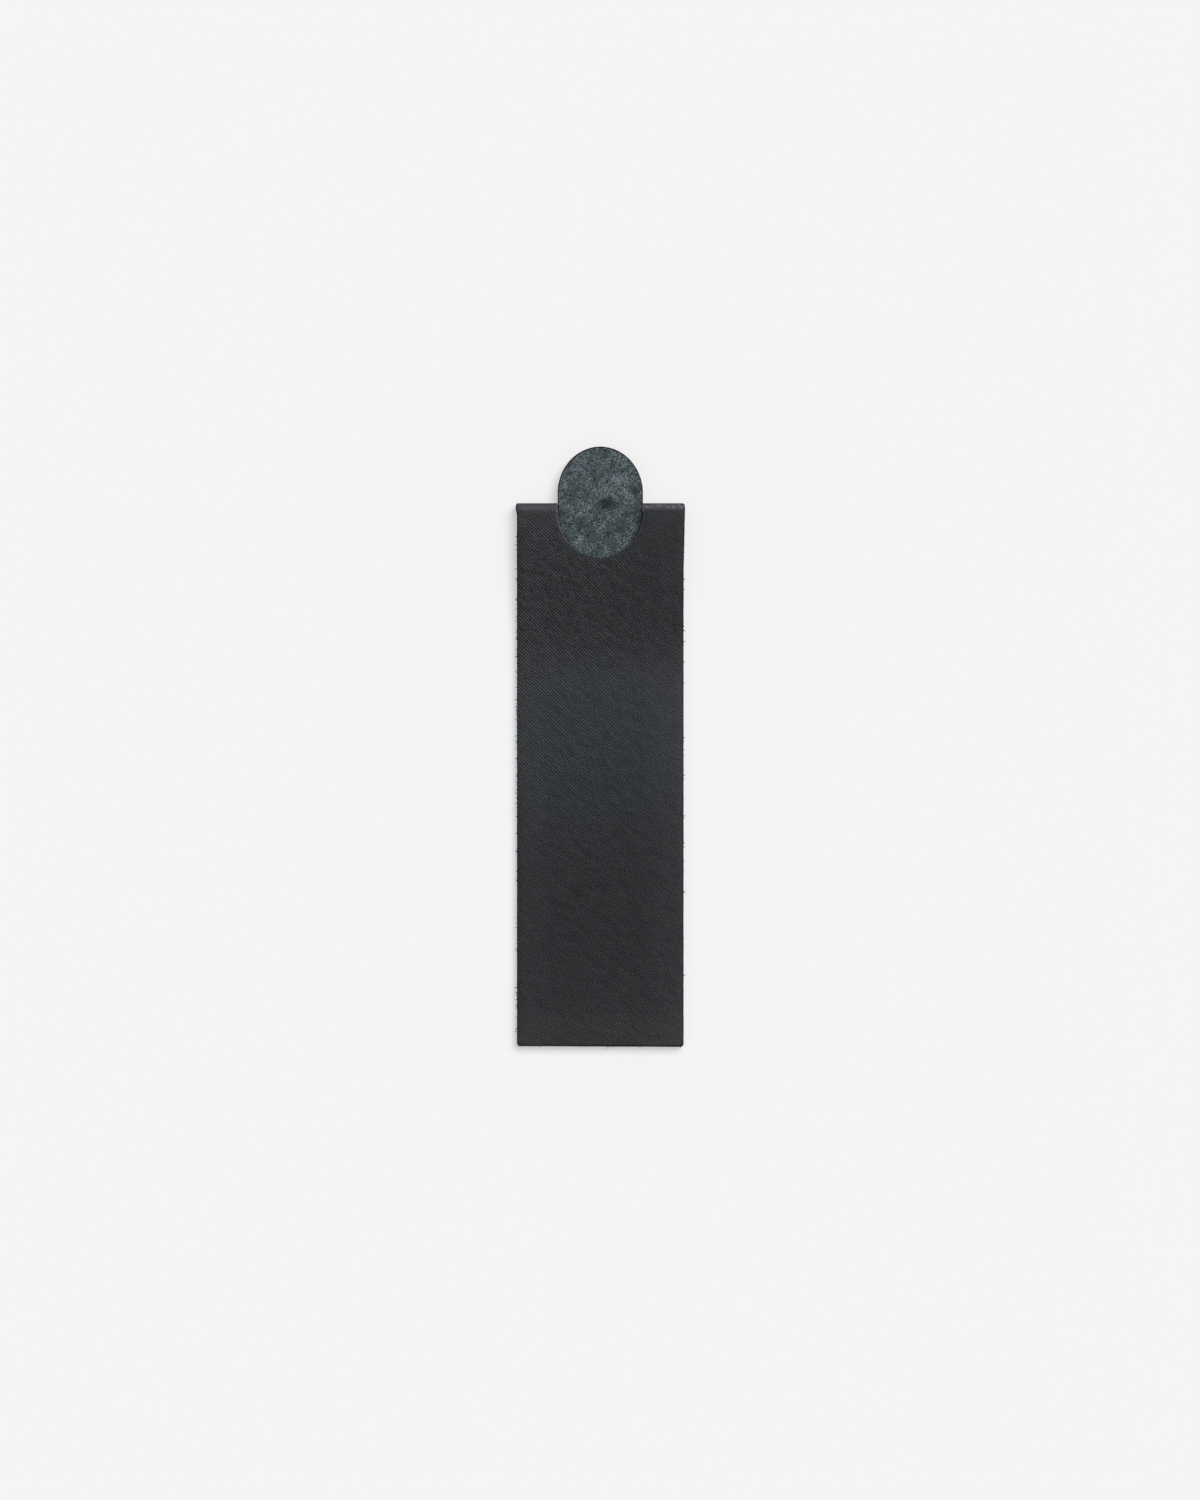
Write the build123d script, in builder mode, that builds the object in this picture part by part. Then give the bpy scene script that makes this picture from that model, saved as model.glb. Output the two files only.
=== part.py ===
"""Folded leather bookmark, in millimetres.

One die-cut strip of hide is folded over its own top end. A tongue is cut out of the front leaf and stays
with the back leaf, so it stands past the fold as an index tab and leaves a window behind it.
The strip is modelled as the zones that the fold divides it into: back leaf, index tab, two fold strips
(left and right of the tab) and front leaf.

Frame: the bookmark lies on its back leaf, +Z up, +Y towards the tab, origin under the middle of its outline.
"""

import os
from math import atan, cos, degrees, pi, radians, sin, tan

from build123d import *

# Driving sizes
LEATHER = 1.1  # thickness of the hide
LEAF_WIDTH = 46.0
LEAF_LENGTH = 150.0  # crown of the fold to the free ends
CORNER_RADIUS = 0.8  # at the free ends
FOLD_RADIUS = 2.2  # outside of the fold
FOLD_FLARE = 0.4  # each side edge spreads this far at the crown of the fold
FLARE_LENGTH = 8.0  # run over which a side edge spreads
TAB_WIDTH = 23.5
TAB_RISE = 15.6  # tip of the tab past the crown of the fold
TIP_DEPTH = 13.0  # depth of the tab's elliptical end
TAB_LIFT = 11.0  # degrees that the tab leans up from the plane of the back leaf
ROOT_CURVE = 12.0  # radius of the bend at the tab's root, on its underside
KERF = 0.2  # gap that the cutting die leaves round the tab
LEAF_GAP = 0.2  # between the leaves where they lie together
DROP_LENGTH = 46.0  # run over which the front leaf comes down from the fold on to the back leaf
END_LIFT = 0.3  # rise of the front leaf's free end
END_LIFT_LENGTH = 32.0  # run over which the free end rises
BEND_LINE = 45.0  # degrees of the fold that each leaf keeps, up to its bend line
OVERCUT = 1.0  # stock left past the outline before it is trimmed

# Places along the strip
CROWN_Y = (LEAF_LENGTH - TAB_RISE) / 2
FOLD_Y = CROWN_Y - FOLD_RADIUS  # axis of the fold
FREE_Y = CROWN_Y - LEAF_LENGTH
TIP_Y = CROWN_Y + TAB_RISE
FLARE_Y = CROWN_Y - FLARE_LENGTH
FLARE_ANGLE = 2 * atan(FOLD_FLARE / FLARE_LENGTH)
FLARE_CURVE = FLARE_LENGTH / sin(FLARE_ANGLE)

# The tongue and the window that it was cut from, with lengths of hide at mid thickness
SLOT_WIDTH = TAB_WIDTH + 2 * KERF
TAB_ANGLE = radians(TAB_LIFT)
ROOT_MIDDLE = ROOT_CURVE - LEATHER / 2
TONGUE_REACH = TIP_Y - FOLD_Y
TONGUE_SLOPE = (TONGUE_REACH - ROOT_MIDDLE * sin(TAB_ANGLE)) / cos(TAB_ANGLE)
TONGUE_LENGTH = ROOT_MIDDLE * TAB_ANGLE + TONGUE_SLOPE
TIP_HEIGHT = ROOT_CURVE + TONGUE_REACH * tan(TAB_ANGLE) - (ROOT_CURVE - LEATHER) / cos(TAB_ANGLE)
FOLD_DEVELOPED = pi * (FOLD_RADIUS - LEATHER / 2)
WINDOW_Y = FOLD_Y - (TONGUE_LENGTH - FOLD_DEVELOPED + KERF)
WINDOW_END_Y = WINDOW_Y + TIP_DEPTH + KERF  # where its straight sides meet its elliptical end
WINDOW_TOP_Y = max(CROWN_Y, WINDOW_END_Y) + OVERCUT

# The front leaf's gentle S from the top of the fold down to the back leaf, and its lifted end
DROP = 2 * FOLD_RADIUS - (2 * LEATHER + LEAF_GAP)
DROP_ANGLE = 2 * atan(DROP / DROP_LENGTH)
DROP_RADIUS = DROP_LENGTH / 2 / sin(DROP_ANGLE)
LIFT_ANGLE = 2 * atan(END_LIFT / END_LIFT_LENGTH)
LIFT_RADIUS = END_LIFT_LENGTH / sin(LIFT_ANGLE)
LIFT_Y = FREE_Y + END_LIFT_LENGTH
OVERCUT_ANGLE = OVERCUT / LIFT_RADIUS

# Stock that every outline trims
STOCK_WIDTH = LEAF_WIDTH + 2 * (FOLD_FLARE + OVERCUT)
STOCK_HEIGHT = max(2 * FOLD_RADIUS, TIP_HEIGHT) + OVERCUT


def on_fold(angle):
    """Point on the outside of the fold, in the YZ plane, at an angle in degrees up from its crown."""
    return (
        FOLD_Y + FOLD_RADIUS * cos(radians(angle)),
        FOLD_RADIUS + FOLD_RADIUS * sin(radians(angle)),
    )


def along_fold(angle):
    """Direction of the strip there, going from the back leaf to the front leaf."""
    return (-sin(radians(angle)), cos(radians(angle)))


# Plan of the folded strip: eased corners at the free end, side edges that spread at the fold
with BuildSketch(Plane.XY) as strip_plan:
    with BuildLine():
        side = Line((LEAF_WIDTH / 2, FREE_Y), (LEAF_WIDTH / 2, FLARE_Y))
        JernArc(side @ 1, side % 1, FLARE_CURVE, -degrees(FLARE_ANGLE))
        mirror(about=Plane.YZ)
        Line((-LEAF_WIDTH / 2, FREE_Y), (LEAF_WIDTH / 2, FREE_Y))
        Line((-LEAF_WIDTH / 2 - FOLD_FLARE, CROWN_Y), (LEAF_WIDTH / 2 + FOLD_FLARE, CROWN_Y))
    make_face()
    fillet(strip_plan.vertices().group_by(Axis.Y)[0], CORNER_RADIUS)

# Plan of the tongue, root at the axis of the fold
with BuildSketch(Plane.XY) as tongue_plan:
    with BuildLine():
        root = Line((-TAB_WIDTH / 2, FOLD_Y), (TAB_WIDTH / 2, FOLD_Y))
        Line(root @ 1, (TAB_WIDTH / 2, TIP_Y - TIP_DEPTH))
        EllipticalCenterArc((0, TIP_Y - TIP_DEPTH), TAB_WIDTH / 2, TIP_DEPTH, 0, arc_size=180)
        Line((-TAB_WIDTH / 2, TIP_Y - TIP_DEPTH), root @ 0)
    make_face()

# Plan of the window: the tongue's end mirrored over the fold, wider by the kerf, open at the crown
with BuildSketch(Plane.XY) as window_plan:
    with BuildLine():
        EllipticalCenterArc((0, WINDOW_END_Y), SLOT_WIDTH / 2, TIP_DEPTH + KERF, 180, arc_size=180)
        Polyline(
            (SLOT_WIDTH / 2, WINDOW_END_Y),
            (SLOT_WIDTH / 2, WINDOW_TOP_Y),
            (-SLOT_WIDTH / 2, WINDOW_TOP_Y),
            (-SLOT_WIDTH / 2, WINDOW_END_Y),
        )
    make_face()

# Back leaf: lies flat, and its top edge curls up into the fold on both sides of the tab
with BuildPart() as back_leaf:
    with BuildSketch(Plane.YZ):
        with BuildLine():
            flat = Line((FREE_Y - OVERCUT, 0), (FOLD_Y, 0))
            JernArc(flat @ 1, flat % 1, FOLD_RADIUS, BEND_LINE)
            offset(amount=LEATHER, side=Side.LEFT)
        make_face()
    extrude(amount=STOCK_WIDTH / 2, both=True)
    extrude(strip_plan.sketch, amount=STOCK_HEIGHT, mode=Mode.INTERSECT)
    with BuildSketch(Plane.XY):
        with Locations((0, FOLD_Y)):
            Rectangle(SLOT_WIDTH, 2 * FOLD_RADIUS, align=(Align.CENTER, Align.MIN))
    extrude(amount=STOCK_HEIGHT, mode=Mode.SUBTRACT)
back_leaf.part.label = "back_leaf"

# Index tab: the tongue, which goes on from the back leaf and is drawn up at its root by the fold beside it
with BuildPart() as index_tab:
    with BuildSketch(Plane.YZ):
        with BuildLine():
            bend = JernArc((FOLD_Y, 0), (1, 0), ROOT_CURVE, TAB_LIFT)
            Line(bend @ 1, bend @ 1 + bend % 1 * (TONGUE_SLOPE + OVERCUT))
            offset(amount=LEATHER, side=Side.LEFT)
        make_face()
    extrude(amount=TAB_WIDTH / 2 + OVERCUT, both=True)
    extrude(tongue_plan.sketch, amount=STOCK_HEIGHT, mode=Mode.INTERSECT)
index_tab.part.label = "index_tab"

# Front leaf: leaves the fold level, settles on the back leaf, lifts at its free end, and has the window
with BuildPart() as front_leaf:
    with BuildSketch(Plane.YZ):
        with BuildLine():
            curl = JernArc(on_fold(BEND_LINE), along_fold(BEND_LINE), FOLD_RADIUS, 90 - BEND_LINE)
            fall = JernArc(curl @ 1, curl % 1, DROP_RADIUS, degrees(DROP_ANGLE))
            settle = JernArc(fall @ 1, fall % 1, DROP_RADIUS, -degrees(DROP_ANGLE))
            rest = Line(settle @ 1, (LIFT_Y, (settle @ 1).Y))
            JernArc(rest @ 1, rest % 1, LIFT_RADIUS, -degrees(LIFT_ANGLE + OVERCUT_ANGLE))
            offset(amount=LEATHER, side=Side.LEFT)
        make_face()
    extrude(amount=STOCK_WIDTH / 2, both=True)
    extrude(strip_plan.sketch, amount=STOCK_HEIGHT, mode=Mode.INTERSECT)
    extrude(window_plan.sketch, amount=STOCK_HEIGHT, mode=Mode.SUBTRACT)
front_leaf.part.label = "front_leaf"

# Fold strips: the crown of the fold between the two bend lines, one each side of the tab
fold_strips = []
for label, hand in (("fold_left", -1), ("fold_right", 1)):
    with BuildPart() as fold_strip:
        with BuildSketch(Plane.YZ):
            with BuildLine():
                JernArc(on_fold(-BEND_LINE), along_fold(-BEND_LINE), FOLD_RADIUS, 2 * BEND_LINE)
                offset(amount=LEATHER, side=Side.LEFT)
            make_face()
        extrude(amount=hand * STOCK_WIDTH / 2)
        extrude(strip_plan.sketch, amount=STOCK_HEIGHT, mode=Mode.INTERSECT)
        extrude(window_plan.sketch, amount=STOCK_HEIGHT, mode=Mode.SUBTRACT)
    fold_strip.part.label = label
    fold_strips.append(fold_strip.part)

os.makedirs("parts", exist_ok=True)
for piece in (back_leaf.part, index_tab.part, front_leaf.part, *fold_strips):
    export_step(piece, f"parts/{piece.label}.step")
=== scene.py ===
"""Folded leather bookmark: the pieces of its hide, their finishes, the light and the camera.

Lengths are in metres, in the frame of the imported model: X across the strip, Y up the page, Z out of it.
"""

import logging
import math
import random
from dataclasses import dataclass, field
from enum import Enum

import bmesh
import bpy
from bmesh.types import BMesh, BMFace, BMVert
from bpy.types import Material, Node, NodeSocket, NodeTree
from mathutils import Matrix, Vector, noise


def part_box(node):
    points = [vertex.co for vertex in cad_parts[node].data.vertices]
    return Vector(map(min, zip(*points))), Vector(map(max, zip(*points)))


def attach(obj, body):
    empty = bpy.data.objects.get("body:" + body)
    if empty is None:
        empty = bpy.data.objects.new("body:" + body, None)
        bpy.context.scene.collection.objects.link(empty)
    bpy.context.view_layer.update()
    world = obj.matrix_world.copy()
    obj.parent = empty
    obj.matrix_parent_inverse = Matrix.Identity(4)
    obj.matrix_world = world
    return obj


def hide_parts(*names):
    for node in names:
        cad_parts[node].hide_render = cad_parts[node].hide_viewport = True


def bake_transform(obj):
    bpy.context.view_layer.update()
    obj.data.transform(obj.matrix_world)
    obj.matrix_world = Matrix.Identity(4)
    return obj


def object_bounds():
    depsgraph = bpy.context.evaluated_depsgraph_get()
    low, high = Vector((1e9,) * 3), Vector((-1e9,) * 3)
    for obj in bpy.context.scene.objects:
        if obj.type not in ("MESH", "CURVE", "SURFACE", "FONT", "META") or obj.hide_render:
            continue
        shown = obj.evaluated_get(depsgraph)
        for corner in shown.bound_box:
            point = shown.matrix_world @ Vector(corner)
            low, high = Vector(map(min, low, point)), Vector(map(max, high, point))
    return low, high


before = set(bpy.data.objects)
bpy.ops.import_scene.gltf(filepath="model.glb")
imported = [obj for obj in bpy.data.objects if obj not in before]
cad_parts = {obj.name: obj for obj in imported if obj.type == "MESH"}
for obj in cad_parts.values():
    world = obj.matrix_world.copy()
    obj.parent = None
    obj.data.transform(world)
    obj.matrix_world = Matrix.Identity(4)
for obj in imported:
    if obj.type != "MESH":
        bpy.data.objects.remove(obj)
CAD_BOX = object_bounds()

LOG = logging.getLogger("bookmark")
MM = 0.001
UV_NAME = "hide"
TINY = 1e-7
# Slant of the plate's lines on the flat hide, and of the streaks in its dye and wear.
SLANT = -math.pi / 4
STREAK_SLANT = math.radians(-35)
# Wave scale that puts the lines one unit apart.
ONE_BAND = 2 * math.pi / 20
EASED = {"interpolation_type": "SMOOTHSTEP"}


class Zone(Enum):
    """Where a piece of the hide lies once the strip is folded."""

    FRONT = "front"
    BACK = "back"
    TAB = "tab"


class Side(Enum):
    """Surfaces of a piece of hide, numbered as its material slots are."""

    GRAIN = 0
    FLESH = 1
    CUT = 2


def srgb(code: str) -> tuple[float, float, float, float]:
    """Turns an sRGB hex colour to linear.

    Args:
        code: Colour, such as "#f4f4f4".

    Returns:
        Linear red, green, blue, and an alpha of 1.
    """
    shares = [int(code[i : i + 2], 16) / 255 for i in (1, 3, 5)]
    linear = [c / 12.92 if c <= 0.04045 else ((c + 0.055) / 1.055) ** 2.4 for c in shares]
    return (*linear, 1.0)


def add(tree: NodeTree, kind: str, inputs: dict | None = None, **settings: object) -> Node:
    """Adds a node with its settings and links.

    Args:
        tree: Node tree that takes the node.
        kind: Node's type, without its leading "ShaderNode".
        inputs: Inputs by name or number, each with the node or socket that feeds it or a value of its own.
            A node feeds it from the first output in use.
        settings: Properties of the node.

    Returns:
        The new node.
    """
    node = tree.nodes.new("ShaderNode" + kind)
    for name, value in settings.items():
        setattr(node, name, value)
    for key, value in (inputs or {}).items():
        if isinstance(value, Node):
            value = next(socket for socket in value.outputs if socket.enabled)
        if isinstance(value, NodeSocket):
            tree.links.new(value, node.inputs[key])
        else:
            node.inputs[key].default_value = value
    return node


@dataclass(frozen=True)
class Ramp:
    """Turns a place or a level between two limits to a share, which holds beyond them."""

    low: float
    high: float
    at_low: float = 0.0
    at_high: float = 1.0

    def of(self, level: Node | NodeSocket) -> dict[int, object]:
        """Gives the inputs of a Map Range node that reads the level."""
        return {0: level, 1: self.low, 2: self.high, 3: self.at_low, 4: self.at_high}


def new_material(name: str) -> tuple[Material, NodeTree]:
    """Starts a material that has no nodes yet.

    Args:
        name: Name of the material.

    Returns:
        The material and its node tree.
    """
    material = bpy.data.materials.new(name)
    material.use_nodes = True
    material.node_tree.nodes.clear()
    return material, material.node_tree


def new_object(name: str, bm: BMesh) -> bpy.types.Object:
    """Makes an object of a finished mesh and puts it in the scene.

    Args:
        name: Name of the object and of its mesh.
        bm: The mesh, which is freed.

    Returns:
        The object.
    """
    mesh = bpy.data.meshes.new(name)
    bm.to_mesh(mesh)
    bm.free()
    made = bpy.data.objects.new(name, mesh)
    bpy.context.scene.collection.objects.link(made)
    return made


def smooth_step(low: float, high: float, value: float) -> float:
    """Rises smoothly from 0 at low to 1 at high."""
    share = min(1.0, max(0.0, (value - low) / (high - low)))
    return share * share * (3 - 2 * share)


@dataclass(frozen=True)
class Stretch:
    """Part of a bent profile: its length, and its turn to the left per metre."""

    length: float
    turn: float = 0.0


def walk(start: Vector, heading: float, stretches: list[Stretch], distance: float) -> tuple[Vector, float]:
    """Follows a chain of straights and arcs.

    Args:
        start: First point, in the plane of the profile.
        heading: Direction there, as an angle.
        stretches: The chain; past its end the path goes straight on.
        distance: How far to go.

    Returns:
        The point reached, and the heading there.
    """
    here, left = start.copy(), distance
    for stretch in [*stretches, Stretch(math.inf)]:
        step = min(left, stretch.length)
        if stretch.turn == 0.0:
            here += step * Vector((math.cos(heading), math.sin(heading)))
        else:
            after = heading + stretch.turn * step
            chord = Vector((math.sin(after) - math.sin(heading), math.cos(heading) - math.cos(after)))
            here += chord / stretch.turn
            heading = after
        left -= step
        if left <= 0:
            break
    return here, heading


@dataclass
class Hide:
    """The strip of leather, flat as it was cut and folded as it lies.

    A point of the flat hide has x across, y along the strip from the crown of the fold, positive towards the
    back, and z from 0 on the grain face down to minus the thickness.
    """

    width: float = 46 * MM
    thickness: float = 1.1 * MM
    corner: float = 0.8 * MM
    tip_depth: float = 13 * MM
    tab_lift: float = math.radians(11)
    root_curve: float = 12 * MM
    # The fold draws up the back leaf inside the window, and the tab's root with it, less so beside the cuts.
    root_rise: float = 2.1 * MM
    rise_from: float = -11 * MM
    rise_full: float = 3.5 * MM
    rise_to: float = 19 * MM
    rise_spread: float = 5 * MM
    rise_middle: float = 0.7
    rise_side: float = 1.8
    # A knife takes nothing away, so the cut round the tab shows only as a line.
    cut_gap: float = 0.04 * MM
    # The free end was cut a little out of square, longer on the right.
    tail_slant: float = 0.2 * MM
    # The left end of the fold stands out as a short ear, and the right edge comes in slowly below it.
    left_flare_length: float = 2.6 * MM
    left_flare_power: float = 4.0
    right_flare_length: float = 18 * MM
    right_flare_power: float = 1.0
    # What the fold does to the side edges dies away quickly towards the middle.
    edge_power: int = 6
    drop_length: float = 46 * MM
    end_lift: float = 0.3 * MM
    end_lift_length: float = 32 * MM
    # Stretched over the fold, the grain draws in at the two ends of the crown.
    pinch: float = 0.35 * MM
    # The front leaf lies a little uneven, in full from this many quarters of the fold below the crown.
    ripple: float = 0.08 * MM
    ripple_length: float = 26 * MM
    ripple_quarters: int = 5
    tab_width: float = field(init=False)
    root_y: float = field(init=False)
    tongue: float = field(init=False)
    crown_y: float = field(init=False)
    free_y: float = field(init=False)
    radius: float = field(init=False)
    flare: float = field(init=False)
    leaf_top: float = field(init=False)

    def __post_init__(self) -> None:
        """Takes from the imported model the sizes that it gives."""
        tab_low, tab_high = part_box("index_tab")
        front_low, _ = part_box("front_leaf")
        fold_low, fold_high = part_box("fold_right")
        self.tab_width = tab_high.x - tab_low.x
        self.root_y = tab_low.y
        sloping = tab_high.y - tab_low.y - self.root_curve * math.sin(self.tab_lift)
        self.tongue = self.root_curve * self.tab_lift + sloping / math.cos(self.tab_lift)
        self.crown_y = fold_high.y
        self.free_y = front_low.y
        self.radius = (fold_low.z + fold_high.z) / 2
        self.flare = fold_high.x - self.width / 2
        self.leaf_top = front_low.z + self.thickness

    @property
    def quarter(self) -> float:
        """Length of grain from the crown to where a leaf goes flat."""
        return self.radius * math.pi / 2

    @property
    def slot_width(self) -> float:
        """Width of the cut that frees the tab."""
        return self.tab_width + 2 * self.cut_gap

    @property
    def window_depth(self) -> float:
        """Length of the window below the fold: what the tab has left of the front leaf."""
        developed = math.pi * (self.radius - self.thickness / 2)
        return self.tongue - developed + self.cut_gap

    @property
    def window_end(self) -> tuple[float, float]:
        """Depth of the window's rounded end, and where along the strip its straight sides meet it."""
        depth = self.tip_depth + self.cut_gap
        return depth, depth - self.quarter - self.window_depth

    def stretches(self, zone: Zone) -> list[Stretch]:
        """Gives the profile of a leaf from the crown to its free end.

        Args:
            zone: The front or the back.

        Returns:
            The leaf's straights and arcs in order.
        """
        if zone is Zone.BACK:
            return [Stretch(self.quarter, -1 / self.radius), Stretch(self.root_y - self.free_y)]
        drop = 2 * self.radius - self.leaf_top
        drop_radius = (self.drop_length**2 + drop**2) / (4 * drop)
        drop_arc = drop_radius * 2 * math.atan(drop / self.drop_length)
        lift_radius = (self.end_lift_length**2 + self.end_lift**2) / (2 * self.end_lift)
        lift_arc = lift_radius * 2 * math.atan(self.end_lift / self.end_lift_length)
        level = self.root_y - self.drop_length - self.free_y - self.end_lift_length
        return [
            Stretch(self.quarter, 1 / self.radius),
            Stretch(drop_arc, 1 / drop_radius),
            Stretch(drop_arc, -1 / drop_radius),
            Stretch(level),
            Stretch(lift_arc, -1 / lift_radius),
        ]

    def length(self, zone: Zone) -> float:
        """Length of a leaf's grain from the crown to its free end."""
        return sum(stretch.length for stretch in self.stretches(zone))

    def spread(self, x: float, y: float, crown_share: float, depth: float) -> float:
        """Says how far the fold moves a point sideways.

        Args:
            x: Place across the flat strip.
            y: Place up the page once folded.
            crown_share: 1 on the crown, and 0 where the leaves go flat.
            depth: Depth under the grain.

        Returns:
            The move along X.
        """
        if x < 0:
            length, power = self.left_flare_length, self.left_flare_power
        else:
            length, power = self.right_flare_length, self.right_flare_power
        below = max(0.0, self.crown_y - y)
        spread = self.flare * max(0.0, 1 - (below / length) ** power)
        drawn = self.pinch * crown_share**2 * (1 - depth / self.thickness)
        return (spread - drawn) * math.copysign((2 * abs(x) / self.width) ** self.edge_power, x)

    def drawn_up(self, zone: Zone, x: float, along: float) -> float:
        """Says how far the fold has drawn a point of the back leaf or of the tab up off the table.

        Args:
            zone: The back or the tab.
            x: Place across the flat strip.
            along: Place along it.

        Returns:
            The move along Z.
        """
        past = self.quarter - along
        share = 1 - smooth_step(self.rise_middle, self.rise_side, 2 * abs(x) / self.tab_width)
        if zone is Zone.TAB:
            share += (1 - share) * smooth_step(0.0, self.rise_spread, past)
            share *= 1 - smooth_step(self.rise_full, self.rise_to, past)
        else:
            share *= 1 - smooth_step(0.0, self.quarter, past)
            past = min(past, 0.0)
        return self.root_rise * share * smooth_step(self.rise_from, self.rise_full, past)

    def lay(self, zone: Zone, flat: Vector) -> Vector:
        """Takes a point of the flat hide to where it lies once the strip is folded.

        Args:
            zone: Leaf or tab that the point belongs to.
            flat: Point of the flat hide.

        Returns:
            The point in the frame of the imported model.
        """
        x, along, depth = flat.x, flat.y, -flat.z
        if zone is Zone.TAB:
            bend = Stretch(self.root_curve * self.tab_lift, 1 / self.root_curve)
            place, heading = walk(Vector((self.root_y, 0)), 0.0, [bend], self.quarter - along)
            place += depth * Vector((-math.sin(heading), math.cos(heading)))
            return Vector((x, place.x, place.y + self.drawn_up(zone, x, along)))
        facing = 1 if zone is Zone.FRONT else -1
        crown = Vector((self.crown_y, self.radius))
        distance = max(0.0, -facing * along)
        place, heading = walk(crown, facing * math.pi / 2, self.stretches(zone), distance)
        outward = facing * Vector((math.sin(heading), -math.cos(heading)))
        place -= depth * outward
        if zone is Zone.FRONT:
            settled = smooth_step(self.quarter, self.ripple_quarters * self.quarter, distance)
            place += outward * settled * self.ripple * noise.noise(Vector((x, along, 0)) / self.ripple_length)
        else:
            place.y += self.drawn_up(zone, x, along)
        crown_share = max(0.0, 1 - distance / self.quarter)
        return Vector((x + self.spread(x, place.x, crown_share, depth), place.x, place.y))


@dataclass
class Chart:
    """Node tree of a finish, and the places on the flat hide that its patterns follow."""

    tree: NodeTree
    hide: Hide
    spot: Node = field(init=False)
    across: NodeSocket = field(init=False)
    along: NodeSocket = field(init=False)
    off_middle: Node = field(init=False)
    off_crown: Node = field(init=False)

    def __post_init__(self) -> None:
        """Adds the nodes that read a place from the hide's map."""
        self.spot = add(self.tree, "UVMap", uv_map=UV_NAME)
        split = add(self.tree, "SeparateXYZ", {0: self.spot})
        self.across, self.along = split.outputs["X"], split.outputs["Y"]
        self.off_middle = add(self.tree, "Math", {0: self.across}, operation="ABSOLUTE")
        self.off_crown = add(self.tree, "Math", {0: self.along}, operation="ABSOLUTE")


@dataclass(frozen=True)
class Spot:
    """A place on the flat hide where a finish differs, its reach, and how far it differs there."""

    x: float
    y: float
    reach: float
    most: float = 1.0

    def share(self, chart: Chart) -> Node:
        """Gives a share that eases from the most at the place to 0 at its reach."""
        away = add(chart.tree, "VectorMath", {0: chart.spot, 1: (self.x, self.y, 0)}, operation="DISTANCE")
        return add(chart.tree, "MapRange", Ramp(self.reach, 0.0, 0.0, self.most).of(away), **EASED)


def drawn_noise(chart: Chart, slant: float, size: tuple[float, float], character: dict[str, float]) -> Node:
    """Makes a cloudy pattern whose marks are drawn out along a slant.

    Args:
        chart: Places on the flat hide.
        slant: Direction of the marks, as an angle.
        size: Length and width of the marks.
        character: Detail, roughness and distortion of the noise, where they aren't its own.

    Returns:
        The pattern, about a half on the whole.
    """
    drawn = add(
        chart.tree, "Mapping", {"Vector": chart.spot, "Rotation": (0, 0, slant), "Scale": (*size, 1)},
        vector_type="TEXTURE",
    )
    return add(chart.tree, "TexNoise", {"Vector": drawn, "Scale": 1.0, **character})


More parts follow.
